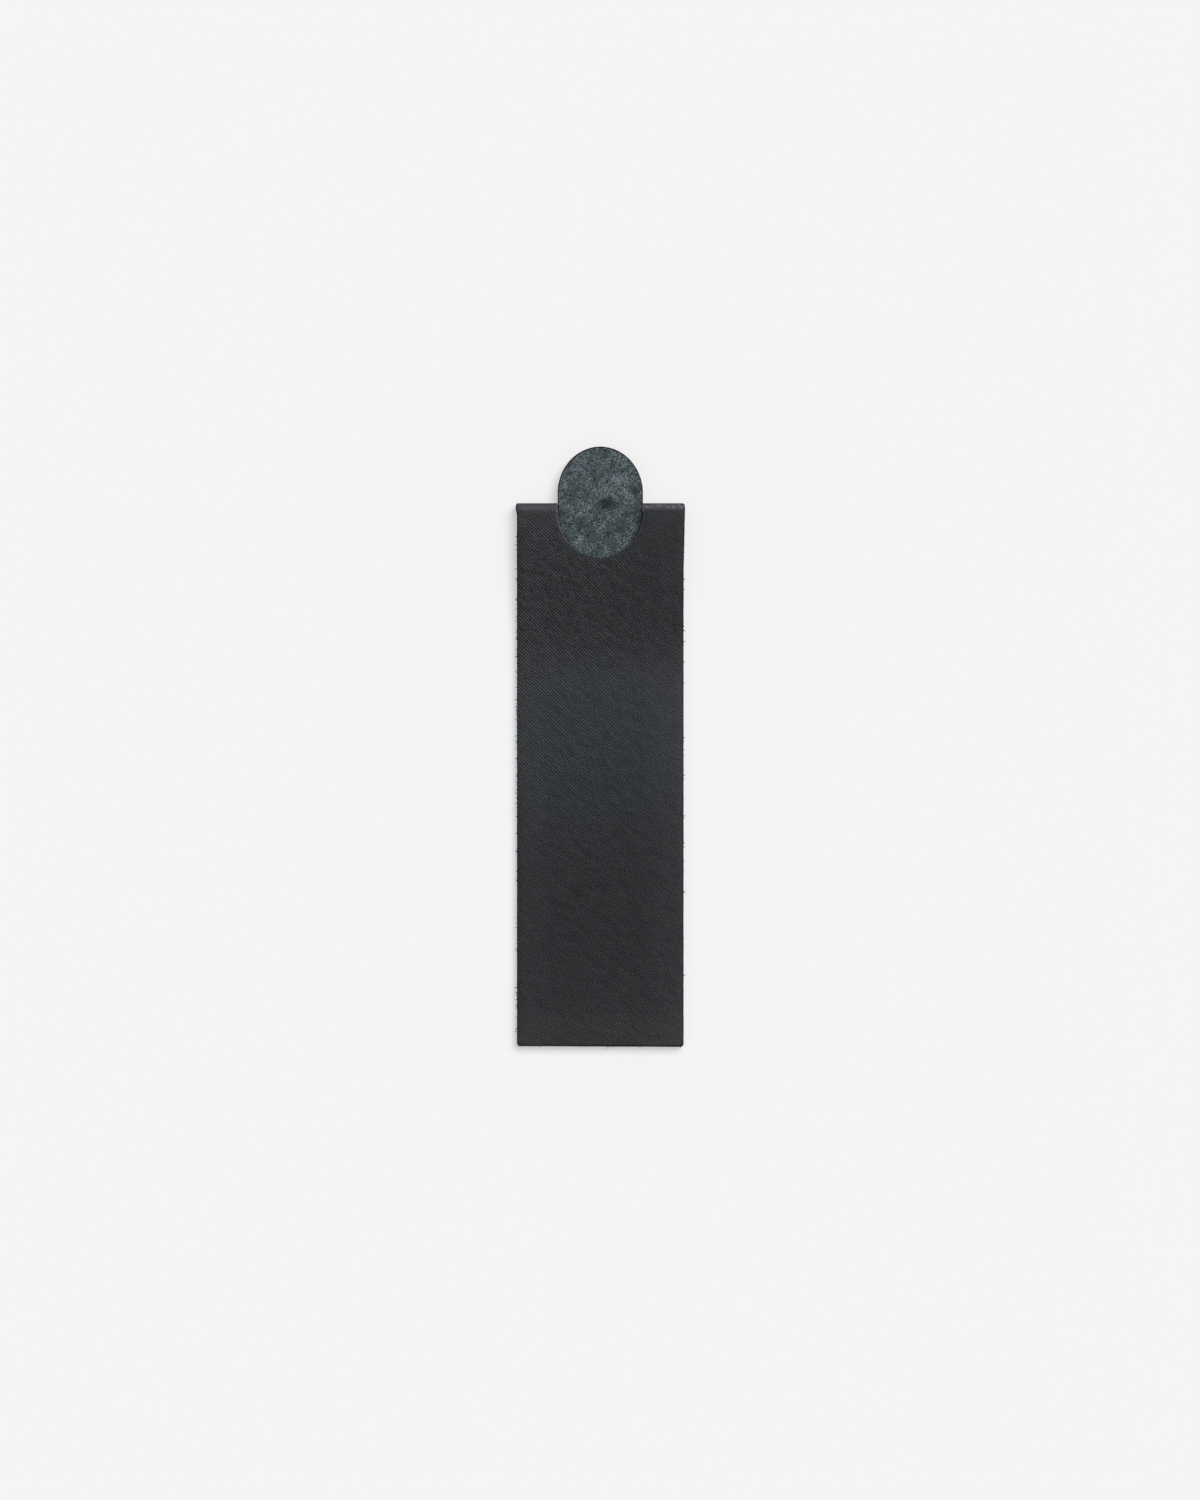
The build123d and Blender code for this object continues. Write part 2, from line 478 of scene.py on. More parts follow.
@dataclass(frozen=True)
class EmbossedLeather:
    """Bookbinding calf, dyed black and plated with fine diagonal lines.

    To the eye: a dry, near-black skin with a low gloss, ruled by slanting lines that stand crisp near the
    fold and on the left and are worn faint towards the free end. A painted highlight leaves it paler and
    cooler half way down, and painted shade darkens it low in the middle. The fold is a band, partly rubbed
    and partly a painted highlight, with slanting cracks; the window's rim has a painted highlight, most on
    the left; and the edges are dressed dark.
    """

    name: str = "plated_calf_grain"
    valley: str = "#050506"
    ridge: str = "#47474a"
    rubbed_and_highlit: str = "#424046"
    bare_fibre_and_highlight: str = "#7c797e"
    dressed_edge: str = "#070708"
    olive: str = "#edf1ef"
    blue: str = "#e7efff"
    sheen_teal: str = "#cdedf5"
    line_pitch: float = 0.668 * MM
    line_depth: float = 0.055 * MM
    # The lines break up into dashes, and the rubbed band into cracks, of this length and width.
    dash: tuple[float, float] = (1.3 * MM, 0.9 * MM)
    crack: tuple[float, float] = (1.9 * MM, 0.26 * MM)
    # Pores are about 0.15 mm across, which is too fine to show, so they are drawn coarser.
    pore: float = 0.38 * MM
    streak: tuple[float, float] = (5 * MM, 1.8 * MM)
    tint_streak: tuple[float, float] = (9 * MM, 3.5 * MM)
    # How crisp the lines stand down the leaf, from streak to streak and from dash to dash.
    crisp_down: Ramp = Ramp(-112 * MM, -55 * MM, 0.2, 1.0)
    crisp_streaks: Ramp = Ramp(0.35, 0.6, 0.55, 1.1)
    crisp_dashes: Ramp = Ramp(0.38, 0.64, 0.05, 1.7)
    # The plate pressed harder on the left than on the right.
    pressed: tuple[float, float] = (1.3, 0.7)
    # The lower right corner has seen less wear, and the right end of the fold more.
    kept_lines: Spot = Spot(8 * MM, -143 * MM, 28 * MM, 0.35)
    lost_place: tuple[float, float] = (19 * MM, -4 * MM)
    lost_lines: Ramp = Ramp(3 * MM, 15 * MM, 0.3, 1.0)
    # Share of the lines that the fold has flattened, and how many quarters of it they take to come back.
    fold_flattens: float = 0.95
    lines_back: float = 2.2
    # Painted highlight: the leaf is painted paler between its upper and lower limits, standing in for the key
    # light's sheen there. It is also paler at its sides, free end and fold.
    painted_sheen_from: Ramp = Ramp(-36 * MM, -52 * MM)
    painted_sheen_to: Ramp = Ramp(-104 * MM, -58 * MM)
    sides_paled_from: Ramp = Ramp(36 * MM, 52 * MM, 0.4, 1.0)
    sides_paled_inside: float = 0.4
    end_paled: Ramp = Ramp(138 * MM, 147 * MM)
    fold_paled: Ramp = Ramp(13 * MM, 3.5 * MM)
    # How far these lighten the skin, and the streaks, pores and lines too, left and right where they differ.
    painted_sheen_gain: float = 0.165
    sides_paled_gains: tuple[float, float] = (0.08, 0.12)
    end_gain: float = 0.1
    fold_gains: tuple[float, float] = (0.2, 0.04)
    streak_gain: float = 0.3
    pore_gain: float = 1.9
    line_gain: float = 1.2
    # Tone of the skin before that, and the spot of painted shade that darkens it, low in the middle of the
    # leaf.
    tone: Ramp = Ramp(0.0, 1.0, -0.87, -0.9)
    painted_shade_spot: Spot = Spot(0.0, -112 * MM, 27 * MM)
    # The dye goes from olive to blue in streaks and keeps no blue at the free end. Half way down a teal tint
    # is painted in as the reflection of the key light's sheen.
    blue_streaks: Ramp = Ramp(0.38, 0.62)
    blue_left: Ramp = Ramp(-138 * MM, -147 * MM, 1.0, 0.0)
    painted_sheen_tint: Spot = Spot(-3 * MM, -68 * MM, 34 * MM)
    # The right end of the fold is the tighter, so its band is narrower and cracks more.
    strain: Ramp = Ramp(6 * MM, 14 * MM, 1.0, 1.14)
    cracked: Ramp = Ramp(6 * MM, 14 * MM, 0.25, 1.0)
    crack_levels: Ramp = Ramp(0.48, 0.64)
    # The band over the fold, partly rubbed and partly a painted highlight where the fold faces the key light,
    # begins and is full this many quarters of the fold from its crown, and fades again on it.
    band: tuple[float, float] = (1.22, 0.66)
    crown_fade: tuple[float, float] = (0.2, 0.65)
    crown_rub: float = 0.1
    mottle: Ramp = Ramp(0.32, 0.6, 0.25, 1.0)
    # Painted highlight: the rim of the window is painted pale where its cut edge catches the key light, most
    # on the left, and less towards its rounded end.
    rim_width: float = 0.5 * MM
    rim_highlight: tuple[float, float] = (0.4, 0.14)
    rim_fade: Ramp = Ramp(0.4, 0.85, 1.0, 0.1)
    # The tab isn't folded, so its grain has none of the fold's wear, nor the painted highlights on the fold
    # and round the window.
    fold_wear_and_highlights: float = 1.0
    edge_width: float = 0.4 * MM
    pore_relief: float = 0.3
    crack_relief: float = 0.5
    roughness: Ramp = Ramp(0.3, 0.7, 0.66, 0.5)
    ior: float = 1.5
    specular: float = 0.22

    def emboss(self, chart: Chart, streaks: Node) -> Node:
        """Rules the plate's lines, each place as crisp as wear has left it.

        Args:
            chart: Places on the flat hide.
            streaks: Broad streaks of wear.

        Returns:
            The relief, from minus a half to a half where it is crisp.
        """
        tree, spot, third, quarter = chart.tree, chart.spot, chart.hide.width / 3, chart.hide.quarter
        ruled = add(
            tree, "Mapping",
            {"Vector": spot, "Rotation": (0, 0, SLANT), "Scale": (self.line_pitch, self.line_pitch, 1)},
            vector_type="TEXTURE",
        )
        lines = add(
            tree, "TexWave",
            {"Vector": ruled, "Scale": ONE_BAND, "Distortion": 0.8, "Detail": 1.0, "Detail Scale": 0.3},
            bands_direction="Y",
        )
        relief = add(tree, "Math", {0: lines.outputs["Fac"], 1: 0.5}, operation="SUBTRACT")
        dashes = drawn_noise(chart, SLANT, self.dash, {"Detail": 3.0, "Roughness": 0.7})
        worn = add(tree, "MapRange", self.crisp_down.of(chart.along), **EASED)
        pressed = add(tree, "MapRange", Ramp(-third, third, *self.pressed).of(chart.across))
        kept = self.kept_lines.share(chart)
        crisp = add(tree, "Math", {0: worn, 1: pressed, 2: kept}, operation="MULTIPLY_ADD")
        off_lost = add(tree, "VectorMath", {0: spot, 1: (*self.lost_place, 0)}, operation="DISTANCE")
        back = Ramp(quarter, self.lines_back * quarter, 1 - self.fold_flattens * self.fold_wear_and_highlights)
        shares = (
            self.lost_lines.of(off_lost), self.crisp_streaks.of(streaks), self.crisp_dashes.of(dashes),
            back.of(chart.off_crown),
        )
        for share in shares:
            crisp = add(tree, "Math", {0: crisp, 1: add(tree, "MapRange", share)}, operation="MULTIPLY")
        return add(tree, "Math", {0: relief, 1: crisp}, operation="MULTIPLY")

    def paling_and_sheen(self, chart: Chart) -> list[tuple[Node, Node | float]]:
        """Finds where the skin is paler: a painted highlight half way down, and paler sides, free end and
        fold.

        Args:
            chart: Places on the flat hide.

        Returns:
            Each pattern, and how far it lightens the skin.
        """
        tree, half = chart.tree, chart.hide.width / 2
        # Painted highlight: between these limits the leaf is painted paler, for the key light's sheen.
        above = add(tree, "MapRange", self.painted_sheen_from.of(chart.along), **EASED)
        below = add(tree, "MapRange", self.painted_sheen_to.of(chart.along), **EASED)
        sides = add(tree, "MapRange", Ramp(self.sides_paled_inside * half, half).of(chart.off_middle), **EASED)
        down_the_sides = add(tree, "MapRange", self.sides_paled_from.of(chart.off_crown))
        return [
            (add(tree, "Math", {0: above, 1: below}, operation="MULTIPLY"), self.painted_sheen_gain),
            (
                add(tree, "Math", {0: sides, 1: down_the_sides}, operation="MULTIPLY"),
                add(tree, "MapRange", Ramp(-half, half, *self.sides_paled_gains).of(chart.across)),
            ),
            (add(tree, "MapRange", self.end_paled.of(chart.off_crown), **EASED), self.end_gain),
            (
                add(tree, "MapRange", self.fold_paled.of(chart.off_crown), **EASED),
                add(tree, "MapRange", Ramp(-half, half, *self.fold_gains).of(chart.across)),
            ),
        ]

    def dye(self, chart: Chart, patterns: list[tuple[Node, Node | float]]) -> Node:
        """Colours the skin between its valleys and its ridges.

        Args:
            chart: Places on the flat hide.
            patterns: Each pattern that lightens it, and how far.

        Returns:
            The colour.
        """
        tree = chart.tree
        # Painted shade: the tone darkens towards a spot low in the middle of the leaf.
        tone = add(tree, "MapRange", self.tone.of(self.painted_shade_spot.share(chart)))
        for pattern, gain in patterns:
            tone = add(tree, "Math", {0: pattern, 1: gain, 2: tone}, operation="MULTIPLY_ADD")
        colour = add(tree, "Mix", {0: tone, 6: srgb(self.valley), 7: srgb(self.ridge)}, data_type="RGBA")
        clouds = drawn_noise(chart, STREAK_SLANT, self.tint_streak, {"Detail": 3.0, "Roughness": 0.6})
        hue = add(tree, "MapRange", self.blue_streaks.of(clouds))
        left = add(tree, "MapRange", self.blue_left.of(chart.along))
        hue = add(tree, "Math", {0: hue, 1: left}, operation="MULTIPLY")
        tint = add(tree, "Mix", {0: hue, 6: srgb(self.olive), 7: srgb(self.blue)}, data_type="RGBA")
        # Painted reflection: a teal tint half way down, for the key light's sheen.
        sheen_tinted = self.painted_sheen_tint.share(chart)
        tint = add(tree, "Mix", {0: sheen_tinted, 6: tint, 7: srgb(self.sheen_teal)}, data_type="RGBA")
        return add(tree, "Mix", {0: 1.0, 6: colour, 7: tint}, data_type="RGBA", blend_type="MULTIPLY")

    def fold_band(self, chart: Chart, pores: Node) -> tuple[Node, Node]:
        """Finds the band over the fold, partly rubbed and partly a painted highlight, and the cracks in it.

        Args:
            chart: Places on the flat hide.
            pores: The skin's pores, which keep some dye.

        Returns:
            How far the band is rubbed, and how far the cracks bare the fibre.
        """
        tree, quarter = chart.tree, chart.hide.quarter
        strain = add(tree, "MapRange", self.strain.of(chart.across))
        off_fold = add(tree, "Math", {0: chart.off_crown, 1: strain}, operation="MULTIPLY")
        start, full = (quarters * quarter for quarters in self.band)
        # Painted highlight: the band is painted paler where the fold faces the key light, over its real
        # rubbing.
        band = add(tree, "MapRange", Ramp(start, full, 0.0, self.fold_wear_and_highlights).of(off_fold), **EASED)
        top, shoulder = (quarters * quarter for quarters in self.crown_fade)
        fade = add(tree, "MapRange", Ramp(top, shoulder, self.crown_rub).of(off_fold))
        rub = add(tree, "Math", {0: band, 1: fade}, operation="MULTIPLY")
        mottle = add(tree, "MapRange", self.mottle.of(pores))
        rubbed_and_highlit = add(tree, "Math", {0: rub, 1: mottle}, operation="MULTIPLY")
        cracks = drawn_noise(chart, SLANT, self.crack, {"Detail": 1.0})
        cracks = add(tree, "MapRange", self.crack_levels.of(cracks))
        for share in (rub, rub, add(tree, "MapRange", self.cracked.of(chart.across))):
            cracks = add(tree, "Math", {0: cracks, 1: share}, operation="MULTIPLY")
        return rubbed_and_highlit, cracks

    def window_rim_highlight(self, chart: Chart) -> Node:
        """Finds the rim of the window, which is painted pale as a highlight.

        Args:
            chart: Places on the flat hide.

        Returns:
            How far the rim is painted pale as a highlight.
        """
        tree, hide = chart.tree, chart.hide
        half, (depth, turn) = hide.slot_width / 2, hide.window_end
        out = add(tree, "Math", {0: chart.across, 1: 1 / half}, operation="MULTIPLY")
        down = add(tree, "Math", {0: chart.along, 1: -1 / depth, 2: turn / depth}, operation="MULTIPLY_ADD")
        down = add(tree, "Math", {0: down, 1: 0.0}, operation="MAXIMUM")
        away = add(tree, "VectorMath", {0: add(tree, "CombineXYZ", {0: out, 1: down})}, operation="LENGTH")
        # Painted highlight: a thin pale rim round the window, strongest on the left, where the cut edge faces
        # the key light.
        rim = add(tree, "MapRange", Ramp(1 + self.rim_width / half, 1.0).of(away))
        left, right = (share * self.fold_wear_and_highlights for share in self.rim_highlight)
        sides, front = Ramp(-half, half, left, right), Ramp(hide.quarter / 2, hide.quarter, 1.0, 0.0)
        for share in (sides.of(chart.across), front.of(chart.along), self.rim_fade.of(down)):
            rim = add(tree, "Math", {0: rim, 1: add(tree, "MapRange", share)}, operation="MULTIPLY")
        return rim

    def dressed(self, chart: Chart) -> Node:
        """Finds the outer edges, which are dressed dark.

        Args:
            chart: Places on the flat hide.

        Returns:
            How far they are dressed.
        """
        ends = ((chart.off_middle, chart.hide.width / 2), (chart.off_crown, chart.hide.length(Zone.BACK)))
        wide, near = self.edge_width, []
        for off, end in ends:
            near.append(add(chart.tree, "MapRange", Ramp(end - wide, end - wide / 2).of(off), **EASED))
        return add(chart.tree, "Math", {0: near[0], 1: near[1]}, operation="MAXIMUM")

    def build(self, hide: Hide) -> Material:
        """Makes the material.

        Args:
            hide: The strip whose fold, window, edges and ends it follows.

        Returns:
            The material.
        """
        material, tree = new_material(self.name)
        chart = Chart(tree, hide)
        streaks = drawn_noise(chart, STREAK_SLANT, self.streak, {"Detail": 4.0, "Roughness": 0.6})
        pores = add(
            tree, "TexNoise", {"Vector": chart.spot, "Scale": 1 / self.pore, "Detail": 2.0, "Roughness": 0.6}
        )
        relief = self.emboss(chart, streaks)
        marks = [(streaks, self.streak_gain), (pores, self.pore_gain), (relief, self.line_gain)]
        colour = self.dye(chart, [*self.paling_and_sheen(chart), *marks])
        rubbed_and_highlit, cracks = self.fold_band(chart, pores)
        # Over the dyed skin: the fold's band of wear and painted highlight, the cracks, the window rim's
        # painted highlight, and the dressed edges.
        layers = (
            (rubbed_and_highlit, self.rubbed_and_highlit), (cracks, self.bare_fibre_and_highlight),
            (self.window_rim_highlight(chart), self.bare_fibre_and_highlight), (self.dressed(chart), self.dressed_edge),
        )
        for share, layer in layers:
            colour = add(tree, "Mix", {0: share, 6: colour, 7: srgb(layer)}, data_type="RGBA")
        height = add(tree, "Math", {0: pores, 1: self.pore_relief, 2: relief}, operation="MULTIPLY_ADD")
        height = add(tree, "Math", {0: cracks, 1: self.crack_relief, 2: height}, operation="MULTIPLY_ADD")
        skin = add(
            tree, "BsdfPrincipled",
            {
                "Base Color": colour, "Roughness": add(tree, "MapRange", self.roughness.of(streaks)),
                "Normal": add(tree, "Bump", {"Strength": 1.0, "Distance": self.line_depth, "Height": height}),
                "IOR": self.ior, "Specular IOR Level": self.specular,
            },
        )
        add(tree, "OutputMaterial", {"Surface": skin})
        return material


@dataclass(frozen=True)
class NappedFlesh:
    """Flesh side of the calf, left as suede.

    To the eye: a soft grey-green nap without gloss, speckled by short fibres that lie this way and that, with
    tufts, patches brushed smooth, and places darker or paler. A dark place beside the window's right edge is
    a painted shadow, and along the window's sides the nap is darker, partly grime and partly painted shade.
    """

    name: str = "calf_flesh_suede"
    deep: str = "#161b1d"
    nap: str = "#465053"
    tip: str = "#8c989b"
    pit: str = "#0e1113"
    grime_and_shade: str = "#181c1e"
    rosy: str = "#ffebf4"
    green: str = "#dff7f3"
    # Nap fibres are about 0.1 mm thick and are drawn coarser, so that they show.
    fleck: float = 0.38 * MM
    strand: tuple[float, float] = (1.2 * MM, 0.24 * MM)
    strand_turns: tuple[float, float] = (math.radians(28), math.radians(-52))
    tuft: float = 1.3 * MM
    patch: float = 5 * MM
    pit_size: float = 0.7 * MM
    tint_size: float = 0.9 * MM
    nap_depth: float = 0.1 * MM
    # Which way the strands lie, how speckled a patch is, and the height that each pattern gives.
    lay_levels: Ramp = Ramp(0.45, 0.55)
    brushed: Ramp = Ramp(0.4, 0.6, 0.4, 1.2)
    patch_height: Ramp = Ramp(0.0, 1.0, -0.5, 0.05)
    fleck_gain: float = 2.6
    strand_gain: float = 0.95
    tuft_gain: float = 0.5
    # The nap is darker in some places and paler in others. The second place, beside the window's right edge,
    # is a painted shadow of that edge.
    spots_and_painted_shadow: tuple[Spot, ...] = (
        Spot(1.9 * MM, 1.4 * MM, 3.0 * MM, -0.28),
        # Painted shadow: the darkening beside the window's right edge.
        Spot(11.9 * MM, 6.5 * MM, 4.0 * MM, -0.12),
        Spot(9.6 * MM, -2.6 * MM, 2.0 * MM, -0.14),
        Spot(4.6 * MM, -5.6 * MM, 2.6 * MM, 0.2),
        Spot(-2.8 * MM, -10.8 * MM, 4.0 * MM, 0.1),
        Spot(-5.8 * MM, 11.3 * MM, 2.4 * MM, 0.1),
    )
    # Heights between which the nap goes from its depths to its tips.
    lit: Ramp = Ramp(0.1, 0.5)
    tipped: Ramp = Ramp(0.5, 0.9)
    # Levels of the noise that open pits in it, and that turn its tint from green to rosy.
    pit_levels: Ramp = Ramp(0.42, 0.3, 0.0, 0.8)
    tint_levels: Ramp = Ramp(0.35, 0.65)
    # Along the sides of the window the nap is darker, partly grime that they rub in and partly painted shade
    # under their edges, from this share of the fold's quarter down.
    grime_shade_top: float = 0.3
    grime_shade_band: Ramp = Ramp(8.6 * MM, 12 * MM, 0.0, 0.4)
    grime_shade_fade: float = 5 * MM
    roughness: float = 0.95
    specular: float = 0.15
    sheen: float = 0.08
    sheen_roughness: float = 0.6

    def nap_height(self, chart: Chart) -> Node:
        """Raises the nap: flecks, strands that lie two ways, tufts, broad patches and single places.

        Args:
            chart: Places on the flat hide.

        Returns:
            The height, about a half on the whole.
        """
        tree, spot = chart.tree, chart.spot
        patches = add(tree, "TexNoise", {"Vector": spot, "Scale": 1 / self.patch, "Detail": 2.0})
        flecks, tufts = (
            add(tree, "TexNoise", {"Vector": spot, "Scale": 1 / size, "Detail": 3.0, "Roughness": rough})
            for size, rough in ((self.fleck, 0.7), (self.tuft, 0.6))
        )
        character = {"Detail": 2.0, "Distortion": 0.8}
        lays = [drawn_noise(chart, turn, self.strand, character) for turn in self.strand_turns]
        way = add(tree, "MapRange", self.lay_levels.of(tufts))
        strands = add(tree, "Mix", {0: way, 2: lays[0], 3: lays[1]})
        brushed = add(tree, "MapRange", self.brushed.of(patches))
        speckle = add(tree, "Math", {0: flecks, 1: 0.5}, operation="SUBTRACT")
        speckle = add(tree, "Math", {0: speckle, 1: brushed}, operation="MULTIPLY")
        height = add(tree, "MapRange", self.patch_height.of(patches))
        gains = ((speckle, self.fleck_gain), (strands, self.strand_gain), (tufts, self.tuft_gain))
        for pattern, gain in gains:
            height = add(tree, "Math", {0: pattern, 1: gain, 2: height}, operation="MULTIPLY_ADD")
        for place in self.spots_and_painted_shadow:
            height = add(tree, "Math", {0: height, 1: place.share(chart)}, operation="ADD")
        return height

    def grime_and_shade_share(self, chart: Chart) -> Node:
        """Finds the nap beside and inside the window that is darker, partly grime from its sides and partly
        painted shade under their edges.

        Args:
            chart: Places on the flat hide.

        Returns:
            How far it is darkened.
        """
        tree, quarter = chart.tree, chart.hide.quarter
        grime_and_shade = add(tree, "MapRange", self.grime_shade_band.of(chart.off_middle))
        beside, below = self.grime_shade_band.high, quarter + chart.hide.window_depth
        limits = (
            Ramp(self.grime_shade_top * quarter, quarter).of(chart.along),
            Ramp(below, below + self.grime_shade_fade, 1.0, 0.0).of(chart.along),
            Ramp(beside, beside + self.grime_shade_fade, 1.0, 0.0).of(chart.off_middle),
        )
        for limit in limits:
            grime_and_shade = add(tree, "Math", {0: grime_and_shade, 1: add(tree, "MapRange", limit)}, operation="MULTIPLY")
        return grime_and_shade

    def build(self, hide: Hide) -> Material:
        """Makes the material.

        Args:
            hide: The strip, whose window rubs on the nap.

        Returns:
            The material.
        """
        material, tree = new_material(self.name)
        chart = Chart(tree, hide)
        spot, height = chart.spot, self.nap_height(chart)
        pits = add(
            tree, "TexNoise", {"Vector": spot, "Scale": 1 / self.pit_size, "Detail": 1.0, "Distortion": 0.6}
        )
        layers = (
            (add(tree, "MapRange", self.lit.of(height)), self.nap),
            (add(tree, "MapRange", self.tipped.of(height)), self.tip),
            (add(tree, "MapRange", self.pit_levels.of(pits)), self.pit),
            # Partly grime and partly painted shade along the window's sides.
            (self.grime_and_shade_share(chart), self.grime_and_shade),
        )
        colour = srgb(self.deep)
        for share, layer in layers:
            colour = add(tree, "Mix", {0: share, 6: colour, 7: srgb(layer)}, data_type="RGBA")
        hues = add(tree, "TexNoise", {"Vector": spot, "Scale": 1 / self.tint_size, "Detail": 2.0})
        hues = add(tree, "MapRange", self.tint_levels.of(hues))
        tint = add(tree, "Mix", {0: hues, 6: srgb(self.green), 7: srgb(self.rosy)}, data_type="RGBA")
        colour = add(tree, "Mix", {0: 1.0, 6: colour, 7: tint}, data_type="RGBA", blend_type="MULTIPLY")
        bump = add(tree, "Bump", {"Strength": 0.8, "Distance": self.nap_depth, "Height": height})
        nap = add(
            tree, "BsdfPrincipled",
            {
                "Base Color": colour, "Roughness": self.roughness, "Normal": bump,
                "Specular IOR Level": self.specular, "Sheen Weight": self.sheen,
                "Sheen Roughness": self.sheen_roughness,
            },
        )
        add(tree, "OutputMaterial", {"Surface": nap})
        return material


@dataclass(frozen=True)
class CutEdge:
    """Raw edge of the hide, where the die went through.

    To the eye: a matt, dark band of packed fibres that run along the cut, some a little paler.
    """

    name: str = "calf_raw_cut"
    dark: str = "#0b0c0e"
    pale: str = "#232527"
    # Packed fibres are finer than this. They are drawn coarser, so that they show, and long along the cut.
    strand: float = 0.3 * MM
    drawn_out: float = 0.3
    strand_depth: float = 0.08 * MM
    pale_levels: Ramp = Ramp(0.35, 0.7)
    roughness: float = 0.9
    specular: float = 0.2

    def build(self) -> Material:
        """Makes the material.

        Returns:
            The material.
        """
        material, tree = new_material(self.name)
        spot = add(tree, "UVMap", uv_map=UV_NAME)
        drawn = add(tree, "Mapping", {"Vector": spot, "Scale": (self.drawn_out, 1.0, 1.0)})
        strands = add(
            tree, "TexNoise", {"Vector": drawn, "Scale": 1 / self.strand, "Detail": 3.0, "Roughness": 0.7}
        )
        share = add(tree, "MapRange", self.pale_levels.of(strands))
        colour = add(tree, "Mix", {0: share, 6: srgb(self.dark), 7: srgb(self.pale)}, data_type="RGBA")
        bump = add(tree, "Bump", {"Strength": 0.9, "Distance": self.strand_depth, "Height": strands})
        raw = add(
            tree, "BsdfPrincipled",
            {
                "Base Color": colour, "Roughness": self.roughness, "Normal": bump,
                "Specular IOR Level": self.specular,
            },
        )
        add(tree, "OutputMaterial", {"Surface": raw})
        return material


@dataclass(frozen=True)
class LooseFibre:
    """Fibres of the hide that stand out of its cut edge.

    To the eye: fine, dull, dark grey hairs.
    """

    name: str = "calf_loose_fibre"
    dark: str = "#15171a"
    pale: str = "#303336"
    spacing: float = 2 * MM
    roughness: float = 0.85
    specular: float = 0.2

    def build(self) -> Material:
        """Makes the material.

        Returns:
            The material.
        """
        material, tree = new_material(self.name)
        spot = add(tree, "UVMap", uv_map=UV_NAME)
        tint = add(tree, "TexNoise", {"Vector": spot, "Scale": 1 / self.spacing, "Detail": 1.0})
        colour = add(tree, "Mix", {0: tint, 6: srgb(self.dark), 7: srgb(self.pale)}, data_type="RGBA")
        hair = add(
            tree, "BsdfPrincipled",
            {"Base Color": colour, "Roughness": self.roughness, "Specular IOR Level": self.specular},
        )
        add(tree, "OutputMaterial", {"Surface": hair})
        return material


@dataclass(frozen=True)
class PaperSweep:
    """Matt paper that the bookmark lies on.

    To the eye: an even, nearly white ground without gloss, on which shadows stay pale.
    """

    name: str = "matt_paper_sweep"
    white: str = "#f4f4f4"
    # How far the camera sees it as an even backdrop, which pales the shadows on it.
    glow: float = 0.5
    roughness: float = 0.95
    specular: float = 0.0

    def build(self) -> Material:
        """Makes the material.

        Returns:
            The material.
        """
        material, tree = new_material(self.name)
        paper = add(
            tree, "BsdfPrincipled",
            {
                "Base Color": srgb(self.white), "Roughness": self.roughness,
                "Specular IOR Level": self.specular,
            },
        )
        paths = add(tree, "LightPath").outputs
        seen = paths["Is Camera Ray"]
        for kind in ("Is Glossy Ray", "Is Transmission Ray"):
            seen = add(tree, "Math", {0: seen, 1: paths[kind]}, operation="MAXIMUM")
        share = add(tree, "Math", {0: seen, 1: self.glow}, operation="MULTIPLY")
        backdrop = add(tree, "Emission", {"Color": srgb(self.white), "Strength": 1.0})
        both = add(tree, "MixShader", {0: share, 1: paper, 2: backdrop})
        add(tree, "OutputMaterial", {"Surface": both})
        return material


